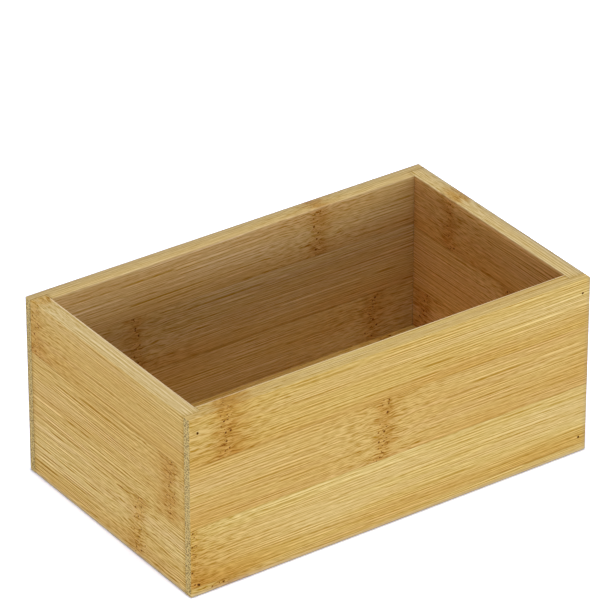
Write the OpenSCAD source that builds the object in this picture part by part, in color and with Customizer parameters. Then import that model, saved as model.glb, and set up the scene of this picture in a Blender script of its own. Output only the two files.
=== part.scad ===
// Open storage box of laminated bamboo, for a desk, shelf or dressing table.
// X runs along the length, Y across the width and Z up. The origin is the middle of
// the footprint, on the surface that the box stands on. Millimetres throughout.
// Each wall is glued up from flat strips laid edge to edge, and so is the floor. The long
// walls lap over the ends of the short walls, and pins hold each corner while its glue sets.

/* [Box] */
// Length outside, along the long walls
box_length = 150; // [90:1:300]
// Width outside, across the long walls
box_width = 90.5; // [60:0.5:200]
// Height from the foot to the rim
box_height = 62.5; // [52:0.5:80]
// Thickness of the walls
wall = 6; // [5.5:0.1:8]

/* [Bamboo strips] */
// Height of a full strip in the long walls
long_wall_strip = 21.2; // [18:0.1:22.5]
// Height of the narrow strip along the foot of the long walls
foot_strip = 3; // [2:0.1:3.3]
// Height of a full strip in the short walls
short_wall_strip = 22; // [18:0.1:24]

/* [Corner joints] */
// Thickness of the lip of a long wall that laps over the end of a short wall
lip = 3; // [2.5:0.1:3.2]
// Diameter of the pins
pin_diameter = 0.7; // [0.5:0.05:0.8]
// Length of a pin from head to point
pin_length = 15; // [12:0.5:20]
// Depth of a pin's head below the face of the wall
pin_sink = 0.8; // [0.3:0.1:1.5]
// Gap between a pin and its bore
pin_play = 0.03; // [0.01:0.01:0.05]
// Height of the lower pins above the foot, at the left end
low_pin_left = 3.8; // [2:0.1:9]
// Height of the lower pins above the foot, at the right end
low_pin_right = 5.5; // [2:0.1:9]
// Depth of the upper pins below the rim, at the left end
high_pin_left = 5.3; // [3:0.1:7]
// Depth of the upper pins below the rim, at the right end
high_pin_right = 4.8; // [3:0.1:7]

/* [Floor] */
// Thickness of the floor
floor_thickness = 3; // [2.5:0.1:4]
// Height of the floor's underside above the foot
floor_rise = 4; // [3:0.1:8]
// Depth of the grooves that hold the floor
groove_depth = 2.2; // [1.5:0.1:2.4]
// Gap above and below the floor in its grooves
groove_play = 0.1; // [0.05:0.05:0.3]
// Gap between the edge of the floor and the bottom of a groove
floor_play = 0.3; // [0.1:0.1:0.6]

/* [Sanded edges] */
// Radius of the four upright corners
corner_round = 1; // [0.4:0.1:2]
// Radius of the outer edge of the rim
rim_round = 0.5; // [0.2:0.1:1.5]
// Radius of the inner edge of the rim
mouth_round = 0.5; // [0.2:0.1:1.5]
// Radius of the outer edge of the foot
foot_round = 0.8; // [0.2:0.1:1.5]

/* [Hidden] */
$fn = 64;

// How far a cutter runs past the face that it cuts
overrun = 1;
// Sides of the box, as signs of X and Y
left = -1;
right = 1;
front = -1;
rear = 1;

// Hollow of the box between the walls
inner_length = box_length - 2 * wall;
inner_width = box_width - 2 * wall;
// Length of a short wall, between the lips of the long walls
short_wall_length = box_width - 2 * lip;
// Glue lines of the long walls and of the short walls, from the foot up to the rim
long_wall_lines = [0, foot_strip, foot_strip + long_wall_strip, foot_strip + 2 * long_wall_strip, box_height];
short_wall_lines = [0, short_wall_strip, 2 * short_wall_strip, box_height];
// Floor, which reaches into the grooves on all four sides
floor_strips = 4;
floor_length = inner_length + 2 * (groove_depth - floor_play);
floor_width = inner_width + 2 * (groove_depth - floor_play);
floor_strip_width = floor_width / floor_strips;
// Pointed end of a pin
pin_point_length = 2 * pin_diameter;
pin_point_diameter = pin_diameter / 5;
// Finishes of the strips
golden = "#cdab64";
pale = "#d2b06c";
ochre = "#c2a162";
floor_tone = "#c9a868";
steel = "#5a5550";

// What sanding takes off a square corner at the origin, of a solid that lies towards -X and -Y
module round_waste(radius) {
    difference() {
        translate([-radius, -radius]) square(radius + overrun);
        translate([-radius, -radius]) circle(r = radius);
    }
}

// Rectangle that stands on the X axis, with its lower and its upper corners rounded
module rounded_outline(width, height, low_radius, high_radius) {
    difference() {
        translate([-width / 2, 0]) square([width, height]);
        for (side = [0, 1]) mirror([side, 0]) {
            translate([width / 2, height]) round_waste(high_radius);
            translate([width / 2, 0]) mirror([0, 1]) round_waste(low_radius);
        }
    }
}

// Extrudes an outline along X, with the outline's X along the box's Y and its Y upwards
module along_length(length) {
    rotate([90, 0, 90]) linear_extrude(length, center = true) children();
}

// Extrudes an outline along Y, with the outline's Y upwards
module along_width(length) {
    rotate([90, 0, 0]) linear_extrude(length, center = true) children();
}

// Block centred on the Z axis, from a given height upwards
module centred_block(size, bottom) {
    translate([-size.x / 2, -size.y / 2, bottom]) cube(size);
}

// The whole box as a solid, after its outside is sanded: the walls are cut out of this form
module sanded_form() {
    intersection() {
        translate([0, -box_width / 2, 0])
            linear_extrude(box_height) rounded_outline(box_length, box_width, corner_round, corner_round);
        along_length(box_length) rounded_outline(box_width, box_height, foot_round, rim_round);
        along_width(box_width) rounded_outline(box_length, box_height, foot_round, rim_round);
    }
}

// Profile across the mouth of the hollow, which widens to the rim in a quarter round
module mouth_profile(width) {
    difference() {
        translate([-width / 2 - mouth_round, box_height - mouth_round])
            square([width + 2 * mouth_round, mouth_round + overrun]);
        for (side = [-1, 1])
            translate([side * (width / 2 + mouth_round), box_height - mouth_round]) circle(r = mouth_round);
    }
}

// What sanding takes off the inner edge of the rim, with mitres in the four corners
module mouth() {
    intersection() {
        along_length(box_length) mouth_profile(inner_width);
        along_width(box_width) mouth_profile(inner_length);
    }
}

// Plan of a long wall: its full thickness between the short walls, and a lip over the end of each
module long_wall_plan(side) {
    mirror([0, side == front ? 1 : 0]) {
        translate([-box_length / 2, box_width / 2 - lip]) square([box_length, lip]);
        translate([-inner_length / 2, box_width / 2 - wall]) square([inner_length, wall]);
    }
}

// Plan of a short wall, which fits between the lips of the long walls
module short_wall_plan(end) {
    mirror([end == left ? 1 : 0, 0])
        translate([box_length / 2 - wall, -short_wall_length / 2]) square([wall, short_wall_length]);
}

// Space that the grooves take up, at the floor's height, out to a given length and width
module floor_groove(length, width) {
    centred_block([length, width, floor_thickness + 2 * groove_play], floor_rise - groove_play);
}

// Places its children at the two pins of a corner, on the face of the long wall and pointing inwards
module at_pins(side, end) {
    low_pin = end == left ? low_pin_left : low_pin_right;
    high_pin = end == left ? high_pin_left : high_pin_right;
    for (height = [low_pin, box_height - high_pin])
        translate([end * (box_length - wall) / 2, side * box_width / 2, height])
            rotate([side * 90, 0, 0]) children();
}

// Headless wire pin with a short point
module pin() {
    translate([0, 0, pin_sink]) {
        cylinder(d = pin_diameter, h = pin_length - pin_point_length);
        translate([0, 0, pin_length - pin_point_length])
            cylinder(d1 = pin_diameter, d2 = pin_point_diameter, h = pin_point_length);
    }
}

// Bore of one pin, open at the face of the long wall
module pin_bore() {
    translate([0, 0, -overrun])
        cylinder(d = pin_diameter + 2 * pin_play, h = overrun + pin_sink + pin_length + pin_play);
}

// One strip of a wall between two glue lines: the first child is the wall's plan, the rest are its cuts
module wall_strip(low, high, finish) {
    color(finish) difference() {
        intersection() {
            sanded_form();
            translate([0, 0, low]) linear_extrude(high - low) children(0);
        }
        mouth();
        children([1:$children - 1]);
    }
}

// Strip of the front or rear wall, counted from the foot
module long_wall_strip_at(side, place, finish) {
    wall_strip(long_wall_lines[place], long_wall_lines[place + 1], finish) {
        long_wall_plan(side);
        floor_groove(box_length, inner_width + 2 * groove_depth);
        at_pins(side, left) pin_bore();
        at_pins(side, right) pin_bore();
    }
}

// Strip of the left or right wall, counted from the foot
module short_wall_strip_at(end, place, finish) {
    wall_strip(short_wall_lines[place], short_wall_lines[place + 1], finish) {
        short_wall_plan(end);
        floor_groove(inner_length + 2 * groove_depth, box_width);
        at_pins(front, end) pin_bore();
        at_pins(rear, end) pin_bore();
    }
}

module front_wall_foot_strip() { long_wall_strip_at(front, 0, golden); }
module front_wall_lower_strip() { long_wall_strip_at(front, 1, pale); }
module front_wall_middle_strip() { long_wall_strip_at(front, 2, golden); }
module front_wall_upper_strip() { long_wall_strip_at(front, 3, pale); }

module rear_wall_foot_strip() { long_wall_strip_at(rear, 0, golden); }
module rear_wall_lower_strip() { long_wall_strip_at(rear, 1, golden); }
module rear_wall_middle_strip() { long_wall_strip_at(rear, 2, pale); }
module rear_wall_upper_strip() { long_wall_strip_at(rear, 3, golden); }

module left_wall_lower_strip() { short_wall_strip_at(left, 0, ochre); }
module left_wall_middle_strip() { short_wall_strip_at(left, 1, golden); }
module left_wall_upper_strip() { short_wall_strip_at(left, 2, ochre); }

module right_wall_lower_strip() { short_wall_strip_at(right, 0, golden); }
module right_wall_middle_strip() { short_wall_strip_at(right, 1, ochre); }
module right_wall_upper_strip() { short_wall_strip_at(right, 2, golden); }

// Strip of the floor, counted from the front
module floor_strip_at(place) {
    color(floor_tone)
        translate([-floor_length / 2, -floor_width / 2 + place * floor_strip_width, floor_rise])
            cube([floor_length, floor_strip_width, floor_thickness]);
}

module floor_front_strip() { floor_strip_at(0); }
module floor_front_middle_strip() { floor_strip_at(1); }
module floor_rear_middle_strip() { floor_strip_at(2); }
module floor_rear_strip() { floor_strip_at(3); }

// The two pins of one corner
module corner_pins(side, end) {
    color(steel) at_pins(side, end) pin();
}

module front_left_pins() { corner_pins(front, left); }
module front_right_pins() { corner_pins(front, right); }
module rear_left_pins() { corner_pins(rear, left); }
module rear_right_pins() { corner_pins(rear, right); }

front_wall_upper_strip();
front_wall_middle_strip();
front_wall_lower_strip();
front_wall_foot_strip();
rear_wall_upper_strip();
rear_wall_middle_strip();
rear_wall_lower_strip();
rear_wall_foot_strip();
left_wall_upper_strip();
left_wall_middle_strip();
left_wall_lower_strip();
right_wall_upper_strip();
right_wall_middle_strip();
right_wall_lower_strip();
floor_front_strip();
floor_front_middle_strip();
floor_rear_middle_strip();
floor_rear_strip();
front_left_pins();
front_right_pins();
rear_left_pins();
rear_right_pins();
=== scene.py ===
"""Looks of the open storage box of laminated bamboo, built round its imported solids.

Every strip of bamboo is a surface of its own: a block worked out patch by patch on grids, with
its edges rounded as sanding leaves them, its knuckle, pores and pin holes sunk in, and the place
of each of these kept on the mesh for the materials. Lengths are millimetres in the row's frame,
and MM turns them into metres when a mesh is made.
"""

import math

import bpy
import numpy as np
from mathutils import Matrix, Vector


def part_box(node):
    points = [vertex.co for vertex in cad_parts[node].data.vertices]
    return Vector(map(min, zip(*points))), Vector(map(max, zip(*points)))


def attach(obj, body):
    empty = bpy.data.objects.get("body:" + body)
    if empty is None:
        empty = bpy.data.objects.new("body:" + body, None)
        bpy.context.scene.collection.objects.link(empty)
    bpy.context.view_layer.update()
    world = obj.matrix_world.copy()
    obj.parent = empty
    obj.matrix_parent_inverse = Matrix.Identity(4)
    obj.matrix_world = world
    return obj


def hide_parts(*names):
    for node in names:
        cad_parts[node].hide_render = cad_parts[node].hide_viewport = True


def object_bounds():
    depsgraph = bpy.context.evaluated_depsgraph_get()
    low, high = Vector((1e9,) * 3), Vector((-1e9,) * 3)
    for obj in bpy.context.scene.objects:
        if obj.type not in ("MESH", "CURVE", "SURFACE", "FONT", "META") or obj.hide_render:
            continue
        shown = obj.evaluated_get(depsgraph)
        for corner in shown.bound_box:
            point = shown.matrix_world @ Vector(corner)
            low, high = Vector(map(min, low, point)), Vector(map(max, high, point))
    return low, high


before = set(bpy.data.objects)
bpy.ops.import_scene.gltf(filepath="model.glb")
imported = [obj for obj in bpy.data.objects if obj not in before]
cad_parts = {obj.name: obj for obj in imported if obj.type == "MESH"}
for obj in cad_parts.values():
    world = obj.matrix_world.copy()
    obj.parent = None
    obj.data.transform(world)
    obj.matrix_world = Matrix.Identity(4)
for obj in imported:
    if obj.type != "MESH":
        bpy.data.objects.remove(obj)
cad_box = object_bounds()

MM = 0.001

# Sanded edges of the box, and the fine break of an edge at a glue line
CORNER_ROUND = 0.5
RIM_ROUND = 0.4
MOUTH_ROUND = 0.4
FOOT_ROUND = 0.5
SEAM_BREAK = 0.05
# How far a glue line darkens the bamboo beside it, and how deep a pore goes
SEAM_REACH = 0.18
PORE_DEPTH = 0.16

# Spacing of the grid over a strip: along the fibres, across them and through the wall
ALONG_STEP = 1.8
ACROSS_STEP = 0.27
DEPTH_STEP = 0.8
# Closer spacing about a knuckle: how far it reaches, and its step
KNUCKLE_ZONES = ((7.0, 0.45), (3.2, 0.17))
# Under these distances two points, or two heights of the box, count as the same
SAME_POINT = 1e-6
SAME_LEVEL = 1e-3


def extent(node):
    """Lowest and highest corner of a solid, in millimetres."""
    low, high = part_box(node)
    return np.array(low) / MM, np.array(high) / MM


# The box's main sizes, read from the solids
HALF_LENGTH, HALF_WIDTH, RIM = np.array(cad_box[1]) / MM
front_low, front_high = extent("front_wall_middle_strip")
WALL = front_high[1] - front_low[1]
LIP = HALF_WIDTH - extent("left_wall_middle_strip")[1][1]
INNER_HALF_LENGTH = HALF_LENGTH - WALL
INNER_HALF_WIDTH = HALF_WIDTH - WALL


def pin_places(wall):
    """Where the pins stand on the face of a long wall, as (along, height)."""
    places = []
    for end in ("left", "right"):
        low, high = extent(f"{wall}_{end}_pins")
        radius = (high[0] - low[0]) / 2
        for height in (low[2] + radius, high[2] - radius):
            places.append(((low[0] + high[0]) / 2, height))
    return places


# How deep the pins are sunk, the play of a hole about its pin, and the grid's rings about a hole
pin_low, pin_high = extent("front_left_pins")
PIN_SINK = pin_low[1] + HALF_WIDTH
HOLE_PLAY = 0.03
HOLE_RADIUS = (pin_high[0] - pin_low[0]) / 2 + HOLE_PLAY
HOLE_RINGS = (0.0, 0.16, 0.28, HOLE_RADIUS - 0.02, HOLE_RADIUS, HOLE_RADIUS + 0.05, HOLE_RADIUS + 0.14)
HOLE_FADE = HOLE_RADIUS + 0.3


def smooth(share):
    """Eases a share from 0 to 1 with a level start and end."""
    share = np.clip(share, 0, 1)
    return share * share * (3 - 2 * share)


def lattice_noise(u, v, seed):
    """Smooth noise from -1 to 1: random values on a lattice of unit cells, eased between them."""
    rows, columns = 97, 89
    lattice = np.random.default_rng(seed).uniform(-1, 1, (rows, columns))
    i, j = np.floor(u).astype(int), np.floor(v).astype(int)
    s, t = smooth(u - i), smooth(v - j)

    def corner(step_u, step_v):
        return lattice[(i + step_u) % rows, (j + step_v) % columns]

    low = corner(0, 0) * (1 - s) + corner(1, 0) * s
    high = corner(0, 1) * (1 - s) + corner(1, 1) * s
    return low * (1 - t) + high * t


def positions(low, high, step, fine=(), rings=(), breaks=()):
    """Grid positions from low to high: a step apart, closer about each fine place, and on every ring.

    fine holds (centre, reach, step), rings the centres of pin holes, breaks single positions."""
    marks = np.linspace(low, high, max(2, round((high - low) / step) + 1))
    for centre, reach, fine_step in fine:
        first, last = max(low, centre - reach), min(high, centre + reach)
        if last - first > fine_step / 2:
            close = np.linspace(first, last, math.ceil((last - first) / fine_step) + 1)
            marks = np.concatenate([marks[(marks < first) | (marks > last)], close])
    for centre in rings:
        if low < centre < high:
            around = centre + np.concatenate([-np.array(HOLE_RINGS[:0:-1]), HOLE_RINGS])
            marks = np.concatenate([marks[abs(marks - centre) > HOLE_FADE], around])
    fixed = np.array([low, high, *[mark for mark in breaks if low < mark < high]])
    too_close = np.abs(marks[:, None] - fixed[None]).min(axis=1) < SEAM_BREAK / 3
    return np.unique(np.round(np.concatenate([marks[~too_close], fixed]), 5))


def patch(axis, value, across, up, outward):
    """Flat grid patch at one value of an axis, over positions on the next two axes in turn."""
    grid_u, grid_v = np.meshgrid(across, up, indexing="ij")
    points = np.empty(grid_u.shape + (3,))
    points[..., axis] = value
    points[..., (axis + 1) % 3] = grid_u
    points[..., (axis + 2) % 3] = grid_v
    index = np.arange(grid_u.size).reshape(grid_u.shape)
    quads = np.stack([index[:-1, :-1], index[1:, :-1], index[1:, 1:], index[:-1, 1:]], axis=-1)
    quads = quads.reshape(-1, 4)
    return points.reshape(-1, 3), quads if outward > 0 else quads[:, ::-1]


def weld(patches):
    """Joins patches into one closed surface: points at the same place become one."""
    offsets = np.cumsum([0] + [len(points) for points, _ in patches[:-1]])
    points = np.concatenate([points for points, _ in patches])
    quads = np.concatenate([quads + offset for (_, quads), offset in zip(patches, offsets)])
    _, first, joined = np.unique(np.round(points, 4), axis=0, return_index=True, return_inverse=True)
    return points[first], joined.reshape(-1)[quads]


def block(along, across, depth):
    """Closed surface of a plain block on three lists of grid positions."""
    return weld([
        patch(0, along[0], across, depth, -1), patch(0, along[-1], across, depth, 1),
        patch(1, across[0], depth, along, -1), patch(1, across[-1], depth, along, 1),
        patch(2, depth[0], along, across, -1), patch(2, depth[-1], along, across, 1),
    ])


def lipped_block(along, across, depth, notch, lip):
    """Closed surface of a long wall's strip: past the notches only the lip's thickness goes on."""
    middle = along[abs(along) <= notch + SAME_POINT]
    left_end, right_end = along[along <= -notch + SAME_POINT], along[along >= notch - SAME_POINT]
    in_lip, past_lip = depth[depth <= lip + SAME_POINT], depth[depth >= lip - SAME_POINT]
    sides = [
        patch(1, height, levels, run, outward)
        for height, outward in ((across[0], -1), (across[-1], 1))
        for levels, run in ((in_lip, along), (past_lip, middle))
    ]
    return weld(sides + [
        patch(2, depth[0], along, across, -1), patch(2, depth[-1], middle, across, 1),
        patch(2, lip, left_end, across, 1), patch(2, lip, right_end, across, 1),
        patch(0, -notch, across, past_lip, -1), patch(0, notch, across, past_lip, 1),
        patch(0, along[0], across, in_lip, -1), patch(0, along[-1], across, in_lip, 1),
    ])


def round_over(u, v, edge_u, edge_v, side_u, side_v, radius):
    """Moves what lies in the square corner at (edge_u, edge_v) onto nested quarter rounds.

    side is 1 where the edge is the high side of the block and -1 where it is the low side."""
    near_u = radius - side_u * (edge_u - u)
    near_v = radius - side_v * (edge_v - v)
    inside = (near_u > 0) & (near_v > 0) & (radius > 0)
    length = np.where(inside, np.hypot(near_u, near_v), 1)
    share = np.where(inside, np.maximum(near_u, near_v) / length, 1)
    moved_u = edge_u - side_u * (radius - near_u * share)
    moved_v = edge_v - side_v * (radius - near_v * share)
    return np.where(inside, moved_u, u), np.where(inside, moved_v, v)


def round_steps(edge, side, radius):
    """Grid positions that an edge's round needs: its start and three steps on the way."""
    return [edge - side * radius * share for share in (1, 0.68, 0.38, 0.14)]


class Knuckle:
    """The joint of a bamboo stem as it crosses a strip: its line, the pores along it and its relief."""

    def __init__(self, place, lean, wander, strength, seed, pores):
        self.place, self.lean, self.wander = place, lean, wander
        self.strength, self.seed, self.pores = strength, seed, pores

    def zones(self):
        """Where the grid is closer, for positions()."""
        return [(self.place, reach, step) for reach, step in KNUCKLE_ZONES]

    def offset(self, along, across, middle):
        """Signed distance along the fibres from the knuckle's line, which leans and wanders."""
        line = self.place + self.lean * (across - middle)
        line = line + self.wander * lattice_noise(across / 2.7, across * 0 + self.seed, self.seed)
        return along - line

    def pore_places(self, low, high, seed=None):
        """Pores as (along, across, radius): the ones listed, or as many strewn along the line."""
        if seed is None:
            width = high - low
            return [(self.place + ahead, low + width * share, size) for ahead, share, size in self.pores]
        draw = np.random.default_rng(seed)
        count = max(3, len(self.pores))
        heights = low + (high - low) * (np.arange(count) + draw.uniform(0.1, 0.9, count)) / count
        lines = -self.offset(np.zeros(count), heights, (low + high) / 2)
        return list(zip(lines + draw.normal(0, 1.1, count), heights, draw.uniform(0.2, 0.36, count)))


def pore_field(along, across, places):
    """Depth share of round pores: 1 up to 0.4 of a pore's radius, easing to 0 at 1.2 of it.

    A distance along the fibres counts 0.8 of its length, so pores are a little longer that way."""
    field = np.zeros_like(along)
    for place, height, size in places:
        distance = np.hypot((along - place) / 1.25, across - height)
        field = np.maximum(field, smooth((size * 1.2 - distance) / (size * 0.8)))
    return field


def relief(along, across, offset, knuckle, seed):
    """Height of a face over its flat plane, never above it: the sum of noise in long thin fibres, in the
    sander's waves, and in a knuckle's ripples, which fade as exp(-distance squared)."""
    fibres = 0.010 * lattice_noise(along / 19, across / 0.55, seed)
    fibres += 0.012 * lattice_noise(along / 42, across / 1.7, seed + 1)
    waves = 0.015 * lattice_noise(along / 33, across / 9, seed + 2)
    near = np.exp(-(offset / 3.2) ** 2) * knuckle.strength
    ripple = lattice_noise(along / 1.6, across / 0.8, seed + 3)
    return np.minimum(fibres + waves + near * 0.035 * ripple - 0.05, 0)


def sink_pin_holes(along, across, depth, holes):
    """Sinks each pin hole into the outer face: square grid rings turn into circles, and drop inside."""
    for place, height in holes:
        u, v = along - place, across - height
        ring = np.maximum(abs(u), abs(v))
        near = (ring < HOLE_FADE) & (depth < SEAM_BREAK)
        turn = smooth((HOLE_FADE - ring) / (HOLE_FADE - HOLE_RADIUS))
        share = np.where(ring > 0, ring / np.maximum(np.hypot(u, v), 1e-9), 1)
        share = 1 + (share - 1) * turn
        along = np.where(near, place + u * share, along)
        across = np.where(near, height + v * share, across)
        drop = np.where(ring < HOLE_RADIUS - 0.01, PIN_SINK + HOLE_PLAY, 0)
        depth = np.where(near, depth + drop, depth)
    return along, across, depth


def make_mesh(name, points, quads, attributes, material):
    """Mesh object from points in millimetres, with one float attribute for each named array."""
    mesh = bpy.data.meshes.new(name)
    mesh.vertices.add(len(points))
    mesh.vertices.foreach_set("co", (points * MM).astype(np.float32).ravel())
    mesh.loops.add(quads.size)
    mesh.loops.foreach_set("vertex_index", quads.astype(np.int32).ravel())
    mesh.polygons.add(len(quads))
    mesh.polygons.foreach_set("loop_start", np.arange(0, quads.size, 4, dtype=np.int32))
    mesh.polygons.foreach_set("use_smooth", np.ones(len(quads), dtype=bool))
    mesh.update(calc_edges=True)
    for key, values in attributes.items():
        layer = mesh.attributes.new(key, "FLOAT", "POINT")
        layer.data.foreach_set("value", values.astype(np.float32))
    mesh.materials.append(material)
    mesh.validate()
    piece = bpy.data.objects.new(name, mesh)
    bpy.context.scene.collection.objects.link(piece)
    return piece


class Nodes:
    """Short calls that add shader nodes to a tree and give back their output sockets."""

    def __init__(self, tree):
        self.tree = tree

    def feed(self, node, inputs):
        """Gives a node its inputs: a socket is linked, and a plain value is set."""
        for key, value in inputs.items():
            if isinstance(value, bpy.types.NodeSocket):
                self.tree.links.new(value, node.inputs[key])
            else:
                node.inputs[key].default_value = value

    def place(self, kind, inputs=None, **settings):
        """Adds a node and gives back all its outputs."""
        node = self.tree.nodes.new(kind)
        for key, value in settings.items():
            setattr(node, key, value)
        self.feed(node, inputs or {})
        return node.outputs

    def add(self, kind, inputs=None, output=0, **settings):
        return self.place(kind, inputs, **settings)[output]

    def math(self, operation, a, b=0.0):
        return self.add("ShaderNodeMath", {0: a, 1: b}, operation=operation)

    def plus(self, total, *others):
        for value in others:
            total = self.math("ADD", total, value)
        return total

    def times(self, product, *others):
        for value in others:
            product = self.math("MULTIPLY", product, value)
        return product

    def vector_math(self, operation, a, b, output=0):
        return self.add("ShaderNodeVectorMath", {0: a, 1: b}, output, operation=operation)

    def split(self, vector):
        return self.place("ShaderNodeSeparateXYZ", {0: vector})

    def combine(self, x, y, z=0.0):
        return self.add("ShaderNodeCombineXYZ", {0: x, 1: y, 2: z})

    def remap(self, value, low, high, to_low=0.0, to_high=1.0, kind="SMOOTHSTEP"):
        inputs = {0: value, 1: low, 2: high, 3: to_low, 4: to_high}
        return self.add("ShaderNodeMapRange", inputs, interpolation_type=kind)

    def noise(self, vector, detail, roughness=0.5):
        inputs = {"Vector": vector, "Scale": 1.0, "Detail": detail, "Roughness": roughness}
        return self.add("ShaderNodeTexNoise", inputs)

    def mix(self, share, a, b, blend="MIX", clamp=True):
        inputs = {0: share, 6: a, 7: b}
        settings = {"data_type": "RGBA", "blend_type": blend, "clamp_factor": clamp}
        return self.add("ShaderNodeMix", inputs, output=2, **settings)

    def ramp(self, value, stops):
        node = self.tree.nodes.new("ShaderNodeValToRGB")
        self.feed(node, {0: value})
        ramp = node.color_ramp
        while len(ramp.elements) < len(stops):
            ramp.elements.new(1.0)
        for element, (place, colour) in zip(ramp.elements, stops):
            element.position, element.color = place, colour
        return node.outputs[0]


def linear(red, green, blue):
    """Scene colour of a screen colour given from 0 to 255."""
    shares = [value / 255 for value in (red, green, blue)]
    curve = [v / 12.92 if v <= 0.04045 else ((v + 0.055) / 1.055) ** 2.4 for v in shares]
    return (*curve, 1.0)


def new_group(name, inputs, outputs):
    """Empty group with the grain coordinates and named values as inputs, and named values as outputs.

    It gives back the group's node maker, its inputs and its output node."""
    group = bpy.data.node_groups.new(name, "ShaderNodeTree")
    group.interface.new_socket("Grain", in_out="INPUT", socket_type="NodeSocketVector")
    for key, value in inputs.items():
        socket = group.interface.new_socket(key, in_out="INPUT", socket_type="NodeSocketFloat")
        socket.default_value = value
    for key in outputs:
        group.interface.new_socket(key, in_out="OUTPUT", socket_type="NodeSocketFloat")
    return Nodes(group), group.nodes.new("NodeGroupInput").outputs, group.nodes.new("NodeGroupOutput")


def stretched(make, grain, along, across, shift):
    """Grain coordinates squeezed so that one unit of noise is along by across millimetres."""
    squeezed = make.vector_math("MULTIPLY", grain, (1 / along, 1 / across, 1 / across))
    return make.vector_math("ADD", squeezed, shift)


def cloud(make, grain, along, across, shift, detail=1.0, roughness=0.5):
    """Noise with patches of about along by across millimetres."""
    return make.noise(stretched(make, grain, along, across, shift), detail, roughness)


def noise_shift(make, seed):
    """Shift of the noise that gives each seed a pattern of its own."""
    return make.combine(*(make.times(seed, step) for step in (7.31, 3.17, 5.77)))


def moved_across(make, grain, distance):
    """Grain coordinates moved across the fibres."""
    return make.vector_math("ADD", grain, make.combine(0.0, distance))


def swing(make, noise, amount):
    """Noise centred on zero and scaled."""
    return make.times(make.math("SUBTRACT", noise, 0.5), amount)


# Width in millimetres of the two sets of fibre bundles and of the single dark fibres, and how far
# they run before they change
FINE_PITCH = 0.8
WIDE_PITCH = 1.0
BUNDLE_RUN = 34
DARK_WIDTH = 0.5
DARK_RUN = 90


def fibre_rows(make, along, across, width, length, seed):
    """Noise in rows of fibres: each row across the strip has a run of light and dark of its own."""
    row = make.math("FLOOR", make.math("DIVIDE", across, width))
    start = make.add("ShaderNodeTexWhiteNoise", {"W": make.plus(row, seed)}, noise_dimensions="1D")
    run = make.plus(make.times(along, 1 / length), make.times(start, 97.0))
    return make.noise(make.combine(run, make.plus(make.times(row, 0.77), seed), seed), 3.0, 0.68)


def bundle_rows(make, along, across, pitch, seed, curve):
    """Rows of fibre bundles: a wave of one pitch in each row, turned dark or pale along its run."""
    wave = make.math(curve, make.times(make.math("DIVIDE", across, pitch), 2 * math.pi))
    side = make.remap(fibre_rows(make, along, across, pitch, BUNDLE_RUN, seed), 0.42, 0.58, -1.0, 1.0)
    return make.times(wave, side)


def grain_group():
    """Bamboo fibres. Band is the hue in wide bands, Fibre how dark the fibres are, Ridge their height.

    Fibre adds two sets of bundles, fine dashes of vessels, single dark fibres, and ripples and
    dashes about a knuckle. There the fibres also wave and swirl, the bundles are calmer, and palest
    limits how pale they get."""
    values = {"Knuckle": 100.0, "Seed": 0.0, "Contrast": 1.0}
    make, given, out = new_group("bamboo_grain", values, ("Band", "Fibre", "Ridge", "Blush"))
    grain, seed = given["Grain"], given["Seed"]
    shift = noise_shift(make, seed)
    distance = make.math("ABSOLUTE", given["Knuckle"])
    core = make.remap(distance, 0.8, 4.2, 1.0, 0.0)
    close = make.remap(distance, 0.5, 7.0, 1.0, 0.0)
    near = make.remap(distance, 0.5, 13.0, 1.0, 0.0)
    about = make.remap(distance, 3.0, 36.0, 1.0, 0.0)
    drift = swing(make, cloud(make, grain, 150, 17, shift), 3.0)
    swirl = swing(make, cloud(make, grain, 3.2, 1.5, shift, 2.0), 2.0)
    waves = swing(make, cloud(make, grain, 9, 3.6, shift), 1.9)
    eased = moved_across(make, grain, make.plus(drift, make.times(waves, about)))
    bent = moved_across(make, eased, make.times(swirl, near))
    spread = moved_across(make, bent, swing(make, cloud(make, bent, 90, 1.4, shift, 0.0), 1.2))
    along, across, depth = make.split(spread)
    across = make.plus(across, depth)
    fine = bundle_rows(make, along, across, FINE_PITCH, make.plus(seed, 31.7), "SINE")
    wide = bundle_rows(make, along, across, WIDE_PITCH, make.plus(seed, 11.9), "COSINE")
    bundles = make.plus(make.times(fine, 0.26), make.times(wide, 0.54))
    calm = make.times(make.remap(about, 0.0, 1.0, 1.0, 0.6, "LINEAR"), given["Contrast"])
    dark = fibre_rows(make, along, across, DARK_WIDTH, DARK_RUN, make.plus(seed, 57.3))
    dash = cloud(make, eased, 2.2, 0.36, shift, 2.0, 0.6)
    ripple = cloud(make, eased, 3.2, 0.38, shift)
    vessel = cloud(make, eased, 2.6, 0.28, shift)
    fibre = make.plus(
        make.times(bundles, calm), 0.28,
        make.times(swing(make, dash, -3.2), close),
        make.times(make.remap(dash, 0.52, 0.66, 0.0, 1.2), core),
        make.times(swing(make, ripple, -2.9), about),
        swing(make, vessel, -0.95),
        make.times(make.remap(dark, 0.6, 0.66), 0.14),
    )
    palest = make.remap(about, 0.0, 1.0, -0.6, -0.06, "LINEAR")
    band = cloud(make, bent, 160, 5.5, shift, 0.0)
    blotch = cloud(make, bent, 42, 12, shift)
    blush = cloud(make, bent, 70, 4.0, make.vector_math("ADD", shift, (3.7, 8.1, 5.9)))
    thread = cloud(make, spread, 14, 0.5, shift)
    make.feed(out, {
        "Band": make.plus(swing(make, band, 0.28), swing(make, blotch, 0.5), 0.5),
        "Fibre": make.math("MAXIMUM", fibre, palest),
        "Ridge": make.plus(make.times(thread, 0.6), make.times(dash, 0.4)),
        "Blush": make.remap(blush, 0.42, 0.62),
    })
    return make.tree


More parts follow.
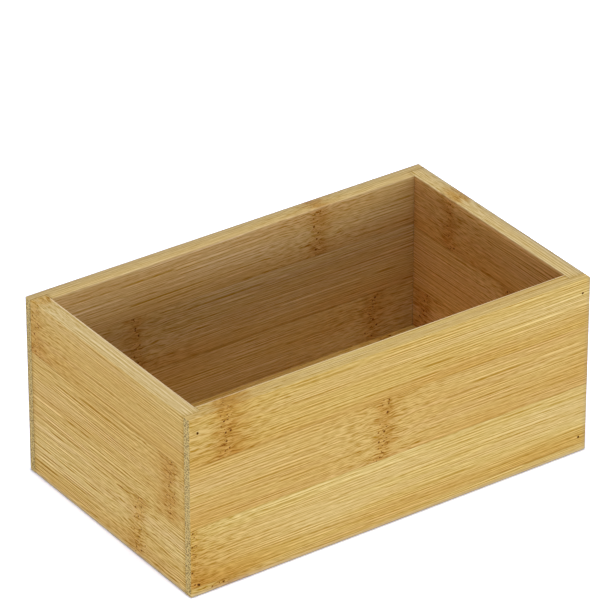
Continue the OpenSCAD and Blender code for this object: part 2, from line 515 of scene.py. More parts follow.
def knuckle_group():
    """A knuckle: its stain feathers out along the fibres, with fine pores and pale flecks at its line."""
    values = {"Knuckle": 100.0, "Seed": 0.0, "Back": 3.0, "Ahead": 6.0}
    make, given, out = new_group("bamboo_knuckle", values, ("Stain", "Pore", "Fleck"))
    grain, offset = given["Grain"], given["Knuckle"]
    shift = noise_shift(make, given["Seed"])
    feather = swing(make, cloud(make, grain, 12, 0.6, shift, 2.0), 11.0)
    lobes = swing(make, cloud(make, grain, 7, 3.4, shift), 9.0)
    ragged = make.plus(offset, make.plus(feather, lobes))
    back = make.remap(ragged, make.times(given["Back"], -1.0), 1.0)
    ahead = make.remap(ragged, -1.0, make.times(given["Ahead"], 1.25), 1.0, 0.0)
    patchy = make.remap(cloud(make, grain, 4.5, 1.1, shift, 2.0), 0.3, 0.65, 0.55, 1.0)
    core = make.remap(make.math("ABSOLUTE", offset), 0.6, 3.4, 1.0, 0.0)
    cells = stretched(make, grain, 1.15, 0.8, shift)
    distance = make.add("ShaderNodeTexVoronoi", {"Vector": cells, "Scale": 1.0, "Randomness": 1.0})
    thinned = make.remap(cloud(make, grain, 1.5, 1.1, shift), 0.47, 0.56)
    flecks = make.remap(cloud(make, grain, 2.2, 0.38, shift), 0.5, 0.64)
    make.feed(out, {
        "Stain": make.times(back, ahead, patchy),
        "Pore": make.times(make.remap(distance, 0.12, 0.3, 1.0, 0.0), make.times(core, thinned)),
        "Fleck": make.times(flecks, core),
    })
    return make.tree


def end_grain_group():
    """Cut ends of the fibre bundles: small brown dots, packed as cells, in a paler ground."""
    make, given, out = new_group("bamboo_end_grain", {"Seed": 0.0}, ("Dots",))
    grain = given["Grain"]
    shift = noise_shift(make, given["Seed"])
    place = make.split(stretched(make, grain, 40, 0.85, shift))
    dot = {"Vector": make.combine(place[1], place[2]), "Scale": 1.0, "Randomness": 0.6}
    distance = make.add("ShaderNodeTexVoronoi", dot, voronoi_dimensions="2D")
    patchy = make.remap(cloud(make, grain, 40, 2.2, shift, 2.0), 0.3, 0.6, 0.6, 1.0)
    make.feed(out, {"Dots": make.times(make.remap(distance, 0.2, 0.48, 1.0, 0.0), patchy)})
    return make.tree


GRAIN = grain_group()
KNUCKLE = knuckle_group()
END_GRAIN = end_grain_group()

# Colours of the bamboo's ground, from the deepest golden band to the palest, and what darkens it
GROUND_TONES = (
    (0.00, (198, 152, 73)), (0.25, (205, 168, 91)), (0.50, (211, 181, 109)), (0.75, (217, 193, 128)),
    (1.00, (224, 205, 148)),
)
FIBRE_SHADE = (0.61, 0.47, 0.08, 1.0)
STAIN_SHADE = (0.79, 0.61, 0.3, 1.0)
BLUSH_SHADE = (1.0, 0.985, 1.07, 1.0)
FLECK_COLOUR = linear(228, 188, 112)
# Brown round the pores and dark in them; round and in the pin holes these are painted shade
PORE_AND_HOLE_HALO_SHADE = (0.7, 0.5, 0.14, 1.0)
PORE_AND_HOLE_SHADE_COLOUR = linear(96, 50, 0)
END_COLOUR = linear(204, 180, 119)
DOT_COLOUR = linear(112, 86, 36)
EDGE_COLOUR = linear(218, 194, 142)
END_SHADE = (0.5, 0.48, 0.5, 1.0)
# Painted highlight on the rim's inner edge and painted reflection at the foot; grey for edge lines and for
# the painted contact shadow at the foot
EDGE_HIGHLIGHT_COLOUR = linear(246, 228, 196)
GREY_EDGE_AND_SHADOW_COLOUR = linear(124, 124, 124)
# How far from a knuckle its golden tone reaches, in millimetres
GOLDEN_REACH = 46.0


def grain_space(make, along_axis, across_axis):
    """Object coordinates in millimetres, turned so that X runs along the fibres and Y across them."""
    place = make.add("ShaderNodeTexCoord", output="Object")
    axes = make.split(make.add("ShaderNodeVectorMath", {0: place, 3: 1 / MM}, operation="SCALE"))
    across = axes[across_axis]
    return make.combine(axes[along_axis], across, axes[3 - along_axis - across_axis]), across


def facing(make, axis):
    """How squarely a surface faces along an axis of the row, from 0 to 1."""
    normal = make.add("ShaderNodeNewGeometry", output="Normal")
    direction = [1.0 if number == axis else 0.0 for number in range(3)]
    return make.math("ABSOLUTE", make.vector_math("DOT_PRODUCT", normal, direction, "Value"))


def attribute(make, name):
    """The value that the mesh keeps at each point under this name."""
    return make.add("ShaderNodeAttribute", output=2, attribute_name=name)


def new_material(name):
    """Material with nodes, its node maker and its shader."""
    material = bpy.data.materials.new(name)
    material.use_nodes = True
    return material, Nodes(material.node_tree), material.node_tree.nodes["Principled BSDF"]


def bamboo_material(name, look, along_axis, across_axis, low, high):
    """Satin bamboo of one strip: its own grain, knuckle, tone across the strip, ends and edges."""
    material, make, shader = new_material(name)
    grain, across = grain_space(make, along_axis, across_axis)
    offset = attribute(make, "knuckle")
    given = {"Grain": grain, "Knuckle": offset, "Seed": look["seed"] * 1.618}
    fibres = make.place("ShaderNodeGroup", {**given, "Contrast": look["contrast"]}, node_tree=GRAIN)
    given.update({"Back": look["back"], "Ahead": look["ahead"]})
    joint = make.place("ShaderNodeGroup", given, node_tree=KNUCKLE)

    share = make.remap(across, low, high, kind="LINEAR")
    low_tone, middle_tone, high_tone = look["tones"]
    lower = make.remap(share, 0.0, 0.5, low_tone, middle_tone)
    upper = make.remap(share, 0.5, 1.0, 0.0, high_tone - middle_tone)
    tone = make.plus(fibres["Band"], make.plus(lower, upper))
    beside = make.remap(make.math("ABSOLUTE", offset), 3.0, GOLDEN_REACH, 1.0, 0.0)
    tone = make.math("SUBTRACT", tone, make.times(beside, look["golden"]))
    tint = (*look["tint"], 1)
    stops = [(place, tuple(v * t for v, t in zip(linear(*rgb), tint))) for place, rgb in GROUND_TONES]
    colour = make.ramp(tone, stops)
    colour = make.mix(fibres["Blush"], colour, BLUSH_SHADE, "MULTIPLY")

    on_edge = make.remap(facing(make, across_axis), 0.6, 0.9)
    colour = make.mix(make.times(on_edge, look["edge"]), colour, EDGE_COLOUR)
    fibre_share = make.times(fibres["Fibre"], make.remap(on_edge, 0.0, 1.0, 1.0, 0.85, "LINEAR"))
    colour = make.mix(fibre_share, colour, FIBRE_SHADE, "MULTIPLY", clamp=False)
    stain_share = make.times(joint["Stain"], make.remap(on_edge, 0.0, 1.0, 1.0, 1.7, "LINEAR"), look["stain"])
    colour = make.mix(stain_share, colour, STAIN_SHADE, "MULTIPLY")
    colour = make.mix(make.times(joint["Fleck"], 0.45), colour, FLECK_COLOUR)
    # Painted shade on the inner faces, with a painted reddish reflection on the right wall
    colour = make.mix(attribute(make, "inside"), colour, (*look["inside"], 1), "MULTIPLY")

    end = {"Grain": grain, "Seed": given["Seed"]}
    dots = make.add("ShaderNodeGroup", end, node_tree=END_GRAIN)
    end_colour = make.mix(make.times(dots, 0.9), END_COLOUR, DOT_COLOUR)
    end_colour = make.mix(look["end"], end_colour, END_SHADE, "MULTIPLY")
    end_share = make.remap(facing(make, along_axis), 0.55, 0.85)
    colour = make.mix(end_share, colour, end_colour)

    # Painted highlight on the rim's inner edge, and painted reflection of the table in a pale band at the
    # foot
    colour = make.mix(make.times(attribute(make, "edge_highlight"), 0.8), colour, EDGE_HIGHLIGHT_COLOUR)
    # Grey lines on some outer edges, and a painted contact shadow at the foot
    colour = make.mix(make.times(attribute(make, "grey_edge_and_shadow"), 0.8), colour, GREY_EDGE_AND_SHADOW_COLOUR)
    colour = make.mix(make.times(attribute(make, "seam"), 0.5), colour, FIBRE_SHADE, "MULTIPLY")
    # Dark pores, with painted shade in and round the pin holes
    sunk = make.math("MAXIMUM", attribute(make, "pore"), make.times(joint["Pore"], 0.8))
    colour = make.mix(make.remap(sunk, 0.0, 0.35), colour, PORE_AND_HOLE_HALO_SHADE, "MULTIPLY")
    colour = make.mix(make.remap(sunk, 0.2, 0.8), colour, PORE_AND_HOLE_SHADE_COLOUR)
    height = make.math("SUBTRACT", fibres["Ridge"], make.times(dots, end_share))
    height = make.math("SUBTRACT", height, joint["Pore"])
    make.feed(shader, {
        "Base Color": colour,
        "Roughness": make.remap(fibres["Ridge"], 0.3, 0.7, 0.54, 0.42),
        "Normal": make.add("ShaderNodeBump", {"Strength": 0.6, "Distance": 0.04 * MM, "Height": height}),
        "Specular IOR Level": 0.12,
    })
    return material


def steel_material():
    """Dull wire of the pins, coloured dark brown as painted shade in its hole."""
    material, make, shader = new_material("pin_wire")
    place = make.add("ShaderNodeTexCoord", output="Object")
    rust = make.noise(make.vector_math("MULTIPLY", place, (9000.0, 9000.0, 9000.0)), 3.0, 0.6)
    make.feed(shader, {
        "Base Color": make.mix(make.remap(rust, 0.4, 0.62), linear(52, 34, 10), linear(66, 38, 8)),
        "Roughness": make.remap(rust, 0.3, 0.7, 0.4, 0.7),
        "Metallic": 0.8,
    })
    return material


# Pores at the knuckles of the two faces in view: how far ahead of the knuckle's place along the
# fibres, share of the strip's width from its low edge, and radius
FRONT_UPPER_PORES = (
    (-0.7, 0.74, 0.34), (0.7, 0.75, 0.24), (-1.7, 0.65, 0.28), (-0.1, 0.5, 0.36), (1.7, 0.51, 0.38),
    (0.2, 0.32, 0.34), (1.3, 0.17, 0.26), (-0.3, 0.13, 0.24), (0.5, 0.86, 0.22), (-1.9, 0.87, 0.24),
)
FRONT_MIDDLE_PORES = (
    (1.6, 0.77, 0.38), (0.4, 0.46, 0.36), (2.2, 0.97, 0.28), (2.0, 0.91, 0.28), (-1.6, 0.31, 0.3),
    (0.3, 0.3, 0.24), (-1.2, 0.05, 0.28), (-1.8, 0.47, 0.26), (-0.3, 0.91, 0.22), (-1.8, 0.2, 0.24),
    (1.2, 0.53, 0.24),
)
FRONT_LOWER_PORES = (
    (0.1, 0.93, 0.26), (-0.2, 0.7, 0.32), (-0.2, 0.27, 0.32), (0.6, 0.86, 0.22), (0.7, 0.06, 0.28),
    (1.8, 0.05, 0.3),
)
FRONT_FOOT_PORES = ((0.2, 0.6, 0.34), (-1.4, 0.66, 0.22), (-4.0, 0.5, 0.22))
LEFT_UPPER_PORES = (
    (1.1, 0.4, 0.28), (2.3, 0.1, 0.3), (2.0, 0.73, 0.26), (-1.3, 0.58, 0.22), (0.4, 0.08, 0.22),
)
LEFT_MIDDLE_PORES = (
    (-0.2, 0.63, 0.3), (1.8, 0.38, 0.28), (-0.8, 0.96, 0.26), (-2.6, 0.8, 0.22), (-0.5, 0.79, 0.24),
    (0.0, 0.12, 0.26), (0.7, 0.54, 0.24), (-2.2, 0.48, 0.22), (0.0, 0.21, 0.24), (-1.3, 0.41, 0.24),
)
LEFT_LOWER_PORES = (
    (1.6, 0.78, 0.32), (-1.2, 0.13, 0.32), (0.2, 0.66, 0.3), (-1.6, 0.85, 0.28), (-1.3, 0.48, 0.28),
    (1.5, 0.13, 0.28), (-3.4, 0.26, 0.24), (-0.1, 0.33, 0.26), (2.6, 0.4, 0.22), (2.4, 0.61, 0.22),
)
# Five pores, and ten, for the strips whose faces are hidden
FEW_PORES = (
    (-0.6, 0.12, 0.28), (0.8, 0.3, 0.3), (-0.4, 0.46, 0.26), (0.9, 0.66, 0.32), (-0.7, 0.84, 0.26),
)
MORE_PORES = FEW_PORES * 2

# Painted shade on the inner faces, standing in for the shade inside the box, with those of two walls apart:
# the right wall's with a painted reddish reflection, the rear wall's bluer and paler; and how dark the rear
# wall's ends are
PLAIN_PAINTED_INNER_SHADE = (0.96, 0.88, 0.8)
PAINTED_INNER_SHADES = {"right": (1.19, 1.03, 1.22), "rear": (1.0, 1.04, 1.5)}
END_DARKNESS = {"rear": 0.12}


def look(seed, tones, knuckle, back, ahead, stain=0.9, edge=0.4, tint=(1.0, 1.0, 1.0), golden=0.0,
         contrast=1.0):
    """How a strip looks. tones shift its bands at the low edge, the middle and the high edge.

    back and ahead are how far the stain runs along the fibres on either side of the knuckle, edge is
    how pale the strip's edge grain is, golden deepens the tone about the knuckle, and contrast is how
    dark its fibre bundles are."""
    return {
        "seed": seed, "tones": tones, "knuckle": knuckle, "back": back, "ahead": ahead,
        "stain": stain, "edge": edge, "tint": tint, "golden": golden, "contrast": contrast,
    }


WARM = (1.0, 0.98, 0.95)
MUTED = (1.0, 0.985, 1.05)
LOOKS = {
    "front_wall_upper_strip": look(
        1, (-0.18, 0.05, 0.04), Knuckle(-61.8, 0.03, 1.0, 1.2, 11, FRONT_UPPER_PORES),
        7.0, 11.0, 1.0, 0.2),
    "front_wall_middle_strip": look(
        2, (-0.2, -0.04, -0.14), Knuckle(-4.0, 0.1, 1.0, 1.1, 12, FRONT_MIDDLE_PORES),
        6.5, 6.0, 0.9, tint=MUTED, contrast=0.9),
    "front_wall_lower_strip": look(
        3, (-0.1, 0.25, 0.36), Knuckle(-74.2, 0.0, 0.5, 1.0, 13, FRONT_LOWER_PORES),
        5.0, 8.0, 0.35, tint=(1.0, 0.985, 0.94), golden=0.27, contrast=0.85),
    "front_wall_foot_strip": look(
        4, (0.1, 0.08, 0.04), Knuckle(-63.3, 0.0, 0.3, 0.6, 14, FRONT_FOOT_PORES), 8.0, 18.0, 1.0),
    "rear_wall_upper_strip": look(
        5, (-0.1, 0.0, 0.05), Knuckle(31.0, 0.05, 0.9, 1.0, 15, FEW_PORES), 6.0, 8.0, tint=WARM),
    "rear_wall_middle_strip": look(
        6, (-0.1, 0.1, 0.08), Knuckle(-38.0, -0.08, 0.9, 1.0, 16, MORE_PORES), 8.0, 5.0),
    "rear_wall_lower_strip": look(
        7, (-0.15, 0.0, 0.0), Knuckle(52.0, 0.05, 0.9, 1.0, 17, MORE_PORES), 5.0, 8.0, tint=WARM),
    "rear_wall_foot_strip": look(
        8, (0.0, 0.0, 0.0), Knuckle(8.0, 0.0, 0.3, 0.6, 18, FRONT_FOOT_PORES), 5.0, 6.0),
    "left_wall_upper_strip": look(
        9, (-0.24, -0.12, -0.06), Knuckle(39.3, 0.03, 0.8, 0.8, 19, LEFT_UPPER_PORES),
        7.0, 5.0, 0.55, 1.0, MUTED, contrast=0.95),
    "left_wall_middle_strip": look(
        10, (-0.1, 0.02, -0.04), Knuckle(-34.5, -0.08, 1.0, 1.1, 20, LEFT_MIDDLE_PORES),
        5.0, 10.0, 0.85, tint=MUTED, contrast=1.4),
    "left_wall_lower_strip": look(
        11, (-0.08, 0.14, 0.08), Knuckle(-16.8, -0.1, 1.0, 1.1, 21, LEFT_LOWER_PORES),
        5.5, 6.0, 0.7, tint=MUTED, contrast=1.5),
    "right_wall_upper_strip": look(
        12, (-0.1, 0.0, 0.05), Knuckle(20.0, 0.05, 0.9, 1.0, 22, FEW_PORES),
        6.0, 6.0, edge=0.8, tint=WARM),
    "right_wall_middle_strip": look(
        13, (-0.1, 0.03, 0.0), Knuckle(-12.0, 0.1, 0.9, 1.0, 23, MORE_PORES), 8.0, 5.0),
    "right_wall_lower_strip": look(
        14, (-0.18, 0.08, 0.0), Knuckle(33.0, -0.06, 0.9, 1.0, 24, MORE_PORES), 5.0, 7.0, tint=WARM),
    "floor_front_strip": look(
        15, (-0.05, 0.0, 0.05), Knuckle(26.0, 0.05, 0.9, 0.8, 25, MORE_PORES), 6.0, 6.0, 0.7, tint=WARM),
    "floor_front_middle_strip": look(
        16, (0.0, 0.06, 0.0), Knuckle(-44.0, 0.05, 0.9, 0.8, 26, MORE_PORES), 6.0, 7.0, 0.7),
    "floor_rear_middle_strip": look(
        17, (-0.1, 0.0, 0.05), Knuckle(3.0, -0.05, 0.9, 0.8, 27, MORE_PORES), 7.0, 6.0, 0.7, tint=WARM),
    "floor_rear_strip": look(
        18, (0.0, 0.04, -0.05), Knuckle(57.0, 0.0, 0.9, 0.8, 28, MORE_PORES), 6.0, 6.0, 0.7),
}
# Each strip gets the painted shade of its inner faces, and how dark its ends are
for node, strip in LOOKS.items():
    wall = node.split("_")[0]
    strip["inside"] = PAINTED_INNER_SHADES.get(wall, PLAIN_PAINTED_INNER_SHADE)
    strip["end"] = END_DARKNESS.get(wall, 0.0)


def wall_edges(low, high):
    """Of a wall's strip: whether it is at the rim, whether at the foot, and its top and low rounds."""
    at_rim, at_foot = high[2] > RIM - SAME_LEVEL, low[2] < SAME_LEVEL
    return at_rim, at_foot, RIM_ROUND if at_rim else SEAM_BREAK, FOOT_ROUND if at_foot else SEAM_BREAK


def round_wall(across, depth, low, high, radii):
    """Rounds the long edges of a wall's strip: outer top, outer foot, inner top and inner foot."""
    edges = ((high, 0, 1, -1), (low, 0, -1, -1), (high, WALL, 1, 1), (low, WALL, -1, 1))
    for (edge, level, side, face), radius in zip(edges, radii):
        across, depth = round_over(across, depth, edge, level, side, face, radius)
    return across, depth


# How far the line of an edge reaches on either face, how strong the painted highlight on each wall's rim
# is, and the grey line on the outer edge of two rims: its strength, and how far it fades across
ARRIS_REACH = 0.8
RIM_HIGHLIGHT = {"front": 1.0, "rear": 0.3, "left": 1.0, "right": 0.3}
RIM_GREY_LINE = {"rear": (0.5, 2.2), "right": (0.6, 1.2)}
# The same grey on the upright corners on either side of the near one
CORNER_GREY_LINE = 0.6
# How far up the foot's painted reflection and painted shade go, and the painted contact shadow line at its
# edge
FOOT_PAINTED_LIGHT_REACH = 1.6
FOOT_SHADOW_LINE = 0.5


def edge_mask(distance_u, distance_v, reach):
    """1 on the line where two faces meet, falling to 0 at a given reach from it on either face."""
    return np.clip(1 - np.maximum(distance_u, distance_v) / reach, 0, 1)


def highlight_and_grey_masks(wall, at_rim, at_foot, to_top, to_foot, to_inner, depth):
    """How much painted highlight and how much grey a wall's strip gets at its edges.

    At the rim its inner edge gets a painted highlight, and a grey line fades from the outer edge across the
    rim and down its round. At the foot a pale painted reflection of the table and a grey painted contact
    shadow both fade upwards from the outer edge, with a darker painted shadow line at the edge itself."""
    pale, grey = np.zeros_like(depth), np.zeros_like(depth)
    if at_rim:
        pale = edge_mask(to_top, to_inner, ARRIS_REACH) * RIM_HIGHLIGHT[wall]
        strength, reach = RIM_GREY_LINE.get(wall, (0.0, 1.0))
        grey = strength * (np.exp(-depth / reach) * np.clip(1 - to_top / RIM_ROUND, 0, 1))
    if at_foot:
        outer = depth < SAME_POINT
        foot_band = outer * np.clip(1 - to_foot / FOOT_PAINTED_LIGHT_REACH, 0, 1)
        pale = foot_band * 0.5
        grey = foot_band * 0.4 + outer * np.clip(1 - to_foot / FOOT_SHADOW_LINE, 0, 1) * 0.4
    return pale, grey


def painted_inner_shade_mask(to_inner, to_top, at_rim):
    """Where the painted inner shade goes: 1 on the inner face of a wall, fading to 0 towards the rim's round.
    """
    return (to_inner < SAME_POINT) * (np.clip(to_top / MOUTH_ROUND, 0, 1) if at_rim else 1)


def seam_mask(across, low, high, at_foot, at_rim):
    """1 along the glue lines of a strip, and 0 a little way off."""
    below = 0 if at_foot else np.clip(1 - (across - low) / SEAM_REACH, 0, 1)
    above = 0 if at_rim else np.clip(1 - (high - across) / SEAM_REACH, 0, 1)
    return np.maximum(below, above)


def painted_hole_shade_mask(along, across, depth, holes):
    """Mask of the painted shade in the pin holes: 1 inside them and just round them."""
    mask = np.zeros_like(along)
    for place, height in holes:
        ring = np.maximum(abs(along - place), abs(across - height))
        mask = np.maximum(mask, np.clip((HOLE_RADIUS + 0.05 - ring) / 0.05, 0, 1) * (depth < SAME_POINT))
    return mask


def bamboo_piece(node, along_axis, across_axis, outer, inward, surface, shaped, fields):
    """Finishes one strip: adds relief and pores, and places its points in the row."""
    strip = LOOKS[node]
    knuckle = strip["knuckle"]
    rest, quads = surface
    along, across, depth = rest.T
    low, high = across.min(), across.max()
    offset = knuckle.offset(along, across, (low + high) / 2)
    outside, inside = depth < SAME_POINT, depth > depth.max() - SAME_POINT
    pore_out = pore_field(along, across, knuckle.pore_places(low, high))
    pore_in = pore_field(along, across, knuckle.pore_places(low, high, knuckle.seed))
    pore = np.where(outside, pore_out, np.where(inside, pore_in, 0))
    seed = strip["seed"] * 10
    rise = np.where(outside, relief(along, across, offset, knuckle, seed), 0)
    rise = np.where(inside, relief(along, across, offset, knuckle, seed + 5), rise)
    rise = rise - PORE_DEPTH * pore
    new_along, new_across, new_depth = shaped
    new_depth = new_depth + np.where(inside, rise, 0) - np.where(outside, rise, 0)
    depth_axis = 3 - along_axis - across_axis
    points = np.empty_like(rest)
    points[:, along_axis] = new_along
    points[:, across_axis] = new_across
    points[:, depth_axis] = outer + inward * new_depth
    axes = np.zeros((3, 3))
    axes[0, along_axis] = axes[1, across_axis] = 1
    axes[2, depth_axis] = inward
    if np.linalg.det(axes) < 0:
        quads = quads[:, ::-1]
    material = bamboo_material(f"bamboo_{node}", strip, along_axis, across_axis, low, high)
    fields = {**fields, "knuckle": offset, "pore": np.maximum(pore, fields["pore"])}
    piece = make_mesh(f"{node}_bamboo", points, quads, fields, material)
    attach(piece, "root")
    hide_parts(node)


def long_wall_piece(wall, name):
    """Strip of the front or rear wall, with a lip at each end and the pin holes that fall on it."""
    node = f"{wall}_wall_{name}_strip"
    low, high = extent(node)
    at_rim, at_foot, top_round, low_round = wall_edges(low, high)
    side = 1 if wall == "rear" else -1
    knuckle = LOOKS[node]["knuckle"]
    holes = [(x, z) for x, z in pin_places(wall) if low[2] < z < high[2]]
    corner = [mark for end in (-1, 1) for mark in round_steps(end * HALF_LENGTH, end, CORNER_ROUND)]
    notch = [end * (INNER_HALF_LENGTH - inset) for end in (-1, 1) for inset in (0, SEAM_BREAK)]
    hole_columns = sorted({x for x, _ in holes})
    along = positions(low[0], high[0], ALONG_STEP, knuckle.zones(), hole_columns, corner + notch)
    edges = round_steps(high[2], 1, top_round) + round_steps(low[2], -1, low_round)
    across = positions(low[2], high[2], ACROSS_STEP, (), [z for _, z in holes], edges)
    outer_edges = round_steps(0, -1, CORNER_ROUND) + round_steps(0, -1, RIM_ROUND)
    inner_edges = round_steps(WALL, 1, MOUTH_ROUND) + [LIP, LIP - SEAM_BREAK]
    depth = positions(0, WALL, DEPTH_STEP, (), (), outer_edges + inner_edges)
    surface = lipped_block(along, across, depth, INNER_HALF_LENGTH, LIP)
    # Each point's place along the fibres, across them and in depth
    a, c, d = surface[0].T
    in_lip = abs(a) > INNER_HALF_LENGTH + SAME_POINT
    mouth = np.where(in_lip, 0, MOUTH_ROUND if at_rim else SEAM_BREAK)

    to_end, to_top, to_foot, to_inner = HALF_LENGTH - abs(a), high[2] - c, c - low[2], WALL - d
    # Painted highlight and painted contact shadow at the edges, and grey edge lines
    edge_highlight, grey_edge_and_shadow = highlight_and_grey_masks(wall, at_rim, at_foot, to_top, to_foot, to_inner, d)
    far_end = a > 0 if wall == "front" else a < 0
    grey_edge_and_shadow = np.maximum(grey_edge_and_shadow, edge_mask(to_end, d, ARRIS_REACH) * far_end * CORNER_GREY_LINE)
    lip_seam = np.where(in_lip, edge_mask(abs(d - LIP), 0, SEAM_REACH), 0)
    step_seam = np.where(d > LIP - SAME_POINT, edge_mask(abs(abs(a) - INNER_HALF_LENGTH), 0, SEAM_REACH), 0)
    on_rim = to_top < SAME_POINT
    seam = np.maximum(seam_mask(c, low[2], high[2], at_foot, at_rim), np.where(on_rim, step_seam, 0))
    seam = np.maximum(seam, np.where(on_rim | (to_end < SAME_POINT), lip_seam, 0))
    inside = painted_inner_shade_mask(to_inner, to_top, at_rim)
    # Painted shade in the pin holes, carried with the pores
    pore = painted_hole_shade_mask(a, c, d, holes) * 0.8
    fields = {"edge_highlight": edge_highlight, "grey_edge_and_shadow": grey_edge_and_shadow, "seam": seam, "inside": inside, "pore": pore}

    inner_foot = np.where(in_lip, 0, SEAM_BREAK)
    c, d = round_wall(c, d, low[2], high[2], (top_round, low_round, mouth, inner_foot))
    for end in (-1, 1):
        a, d = round_over(a, d, end * HALF_LENGTH, 0, end, -1, CORNER_ROUND)
        a, d = round_over(a, d, end * HALF_LENGTH, LIP, end, 1, SEAM_BREAK)
        a, c = round_over(a, c, end * HALF_LENGTH, high[2], end, 1, top_round)
        a, c = round_over(a, c, end * HALF_LENGTH, low[2], end, -1, low_round)
    a, c, d = sink_pin_holes(a, c, d, holes)
    bamboo_piece(node, 0, 2, side * HALF_WIDTH, -side, surface, (a, c, d), fields)


def short_wall_piece(wall, name):
    """Strip of the left or right wall, between the lips of the long walls."""
    node = f"{wall}_wall_{name}_strip"
    low, high = extent(node)
    at_rim, at_foot, top_round, low_round = wall_edges(low, high)
    side = 1 if wall == "right" else -1
    knuckle = LOOKS[node]["knuckle"]
    ends = [end * (high[1] - SEAM_BREAK) for end in (-1, 1)]
    mouth_marks = (INNER_HALF_WIDTH, INNER_HALF_WIDTH + MOUTH_ROUND / 2, INNER_HALF_WIDTH + MOUTH_ROUND)
    mitre = [end * mark for end in (-1, 1) for mark in mouth_marks]
    along = positions(low[1], high[1], ALONG_STEP, knuckle.zones(), (), ends + mitre)
    edges = round_steps(high[2], 1, top_round) + round_steps(low[2], -1, low_round)
    across = positions(low[2], high[2], ACROSS_STEP, (), (), edges)
    outer_edges = round_steps(0, -1, top_round) + round_steps(0, -1, low_round)
    depth = positions(0, WALL, DEPTH_STEP, (), (), outer_edges + round_steps(WALL, 1, MOUTH_ROUND))
    surface = block(along, across, depth)
    # Each point's place along the fibres, across them and in depth
    a, c, d = surface[0].T
    mouth_share = np.clip((INNER_HALF_WIDTH + MOUTH_ROUND - abs(a)) / MOUTH_ROUND, 0, 1)
    mouth = MOUTH_ROUND * mouth_share if at_rim else SEAM_BREAK

    to_end, to_top, to_foot, to_inner = high[1] - abs(a), high[2] - c, c - low[2], WALL - d
    # Painted highlight and painted contact shadow at the edges, and grey edge lines
    edge_highlight, grey_edge_and_shadow = highlight_and_grey_masks(wall, at_rim, at_foot, to_top, to_foot, to_inner, d)
    if at_rim:
        edge_highlight = edge_highlight * mouth_share
    seam = np.maximum(seam_mask(c, low[2], high[2], at_foot, at_rim), np.clip(1 - to_end / SEAM_REACH, 0, 1))
    inside = painted_inner_shade_mask(to_inner, to_top, at_rim)
    fields = {"edge_highlight": edge_highlight, "grey_edge_and_shadow": grey_edge_and_shadow, "seam": seam, "inside": inside, "pore": 0 * a}

    c, d = round_wall(c, d, low[2], high[2], (top_round, low_round, mouth, SEAM_BREAK))
    for end in (-1, 1):
        a, d = round_over(a, d, end * high[1], 0, end, -1, SEAM_BREAK)
        a, c = round_over(a, c, end * high[1], high[2], end, 1, SEAM_BREAK)
    bamboo_piece(node, 1, 2, side * HALF_LENGTH, -side, surface, (a, c, d), fields)


def floor_piece(name):
    """Thin strip of the floor, edge to edge with its neighbours."""
    node = f"floor_{name}_strip"
    low, high = extent(node)
    knuckle = LOOKS[node]["knuckle"]
    thickness = high[2] - low[2]
    ends = [end * (high[0] - SEAM_BREAK) for end in (-1, 1)]
    along = positions(low[0], high[0], ALONG_STEP, knuckle.zones(), (), ends)
    across = positions(low[1], high[1], ACROSS_STEP, (), (), [low[1] + SEAM_BREAK, high[1] - SEAM_BREAK])
    depth = positions(0, thickness, DEPTH_STEP, (), (), [SEAM_BREAK, thickness - SEAM_BREAK])
    surface = block(along, across, depth)
    # Each point's place along the fibres, across them and in depth
    a, c, d = surface[0].T
    seam = seam_mask(c, low[1], high[1], False, False)
    # Painted inner shade on the floor's top face
    inside = 1.0 * (d > thickness - SAME_POINT)
    fields = {"edge_highlight": 0 * a, "grey_edge_and_shadow": 0 * a, "seam": seam, "inside": inside, "pore": 0 * a}
    for edge, side in ((low[1], -1), (high[1], 1)):
        for level, face in ((0, -1), (thickness, 1)):
            c, d = round_over(c, d, edge, level, side, face, SEAM_BREAK)
    bamboo_piece(node, 0, 1, low[2], 1, surface, (a, c, d), fields)


for wall in ("front", "rear"):
    for name in ("foot", "lower", "middle", "upper"):
        long_wall_piece(wall, name)
for wall in ("left", "right"):
    for name in ("lower", "middle", "upper"):
        short_wall_piece(wall, name)
for name in ("front", "front_middle", "rear_middle", "rear"):
    floor_piece(name)

wire = steel_material()
for node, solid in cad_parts.items():
    if node.endswith("_pins"):
        solid.data.materials.clear()
        solid.data.materials.append(wire)


# Camera: a long lens above the near left corner. The direction, the distance and the two
# offsets of the aim, in the picture's plane, are in the row's frame
CAMERA_AZIMUTH = math.radians(-35.0047)
CAMERA_ELEVATION = math.radians(29.9162)
CAMERA_DISTANCE = 1603.2
CAMERA_RIGHT = -2.723
CAMERA_UP = 50.016
CAMERA_LENS = 305.61
SENSOR = 36.0
# Soft boxes: place and aim, width and height, all in metres, and watts
SOFT_BOXES = {
    "overhead": ((0.0, 0.0, 1.4), (0, 0, 0.03), 1.2, 1.2, 16.1),
    "front_box": ((0.25, -1.25, 0.2), (0, 0, 0.03), 1.0, 0.36, 8.45),
    "underneath": ((0.1, -0.1, -0.7), (0, 0, 0), 0.5, 0.5, 3.5),
    "left_box": ((-1.3, -0.1, 0.05), (0, 0, 0.03), 0.9, 0.1, 6.9),
}
# Light of the surround on the box, where 1 is white
SURROUND_LEVEL = 0.15
# The table: how far it reaches, how far its opening stays within the box's outer faces and how far
# it lies below the foot, and its colour to the light, in a reflection and to the camera
TABLE_REACH = 3000.0
OPENING_INSET = 0.7
TABLE_DROP = 0.02
TABLE_LIT = (0.86, 0.86, 0.86, 1)
TABLE_MIRRORED = (1.1, 1.1, 1.1, 1)
TABLE_SEEN = (1.6, 1.68, 2.0, 1)


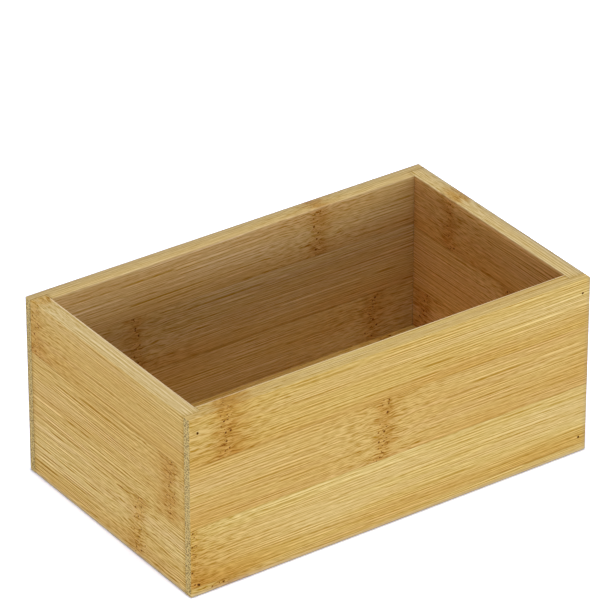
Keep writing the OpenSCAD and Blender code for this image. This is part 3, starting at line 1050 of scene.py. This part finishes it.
def set_up(name, data, place, direction):
    """Adds a camera or a lamp to the scene at a place in metres, turned to look in a direction."""
    thing = bpy.data.objects.new(name, data)
    thing.location = place
    thing.rotation_mode = "QUATERNION"
    thing.rotation_quaternion = direction.to_track_quat("-Z", "Y")
    bpy.context.scene.collection.objects.link(thing)
    return thing


def add_camera():
    """The camera, from its direction, distance and offsets."""
    back = Vector((
        math.sin(CAMERA_AZIMUTH) * math.cos(CAMERA_ELEVATION),
        -math.cos(CAMERA_AZIMUTH) * math.cos(CAMERA_ELEVATION),
        math.sin(CAMERA_ELEVATION),
    ))
    right = Vector((0, 0, 1)).cross(back).normalized()
    up = back.cross(right)
    data = bpy.data.cameras.new("camera")
    data.sensor_width, data.lens = SENSOR, CAMERA_LENS
    data.clip_start, data.clip_end = 0.05, 20
    place = (right * CAMERA_RIGHT + up * CAMERA_UP + back * CAMERA_DISTANCE) * MM
    bpy.context.scene.camera = set_up("camera", data, place, -back)


def add_soft_box(name, place, aim, width, height, watts):
    """Soft box at a place, facing a point, out of the camera's sight."""
    data = bpy.data.lights.new(name, "AREA")
    data.shape, data.size, data.size_y = "RECTANGLE", width, height
    data.energy = watts
    lamp = set_up(name, data, place, Vector(aim) - Vector(place))
    lamp.visible_camera = False


def add_surround():
    """Even pale surround: plain light for the box, and pure white where it is seen or mirrored."""
    world = bpy.data.worlds.new("surround")
    world.use_nodes = True
    make = Nodes(world.node_tree)
    path = make.place("ShaderNodeLightPath")
    seen = make.math("MAXIMUM", path["Is Camera Ray"], path["Is Glossy Ray"])
    seen = make.math("MAXIMUM", seen, path["Is Transmission Ray"])
    level = make.remap(seen, 0.0, 1.0, SURROUND_LEVEL, 1.0, "LINEAR")
    make.feed(make.tree.nodes["Background"], {"Color": (1, 1, 1, 1), "Strength": level})
    bpy.context.scene.world = world


def add_table():
    """White table top, lifted to pure white for the camera, so that only the shadow at the foot shows; near
    the foot its colour to the camera is darkened by ambient occlusion, a painted contact shadow.

    It is open under the box, within the walls' thickness, and clear from below, so that the underside
    can be lit and seen."""
    mesh = bpy.data.meshes.new("table_top")
    opening = (HALF_LENGTH - OPENING_INSET, HALF_WIDTH - OPENING_INSET)
    signs = ((-1, -1), (1, -1), (1, 1), (-1, 1))
    corners = [
        (x * u * MM, y * v * MM, -TABLE_DROP * MM)
        for x, y in ((TABLE_REACH, TABLE_REACH), opening) for u, v in signs
    ]
    mesh.from_pydata(corners, [], [(i, (i + 1) % 4, 4 + (i + 1) % 4, 4 + i) for i in range(4)])
    floor = bpy.data.objects.new("table_top", mesh)
    bpy.context.scene.collection.objects.link(floor)
    material, make, shader = new_material("white_table")
    make.tree.nodes.remove(shader)
    path = make.place("ShaderNodeLightPath")
    mirrored = make.math("MAXIMUM", path["Is Glossy Ray"], path["Is Transmission Ray"])
    # Painted contact shadow: ambient occlusion darkens the table's colour to the camera near the foot
    close = make.add("ShaderNodeAmbientOcclusion", {"Color": TABLE_SEEN, "Distance": 1.2 * MM})
    white = make.mix(mirrored, TABLE_LIT, TABLE_MIRRORED)
    white = make.mix(path["Is Camera Ray"], white, make.mix(0.6, TABLE_SEEN, close))
    lit = make.add("ShaderNodeBsdfDiffuse", {"Color": white})
    under = make.add("ShaderNodeNewGeometry", output="Backfacing")
    clear = make.add("ShaderNodeBsdfTransparent")
    whole = make.add("ShaderNodeMixShader", {0: under, 1: lit, 2: clear})
    make.feed(make.tree.nodes["Material Output"], {"Surface": whole})
    mesh.materials.append(material)


add_camera()
add_surround()
add_table()
for name, setting in SOFT_BOXES.items():
    add_soft_box(name, *setting)

view = bpy.context.scene.view_settings
view.view_transform = "Standard"
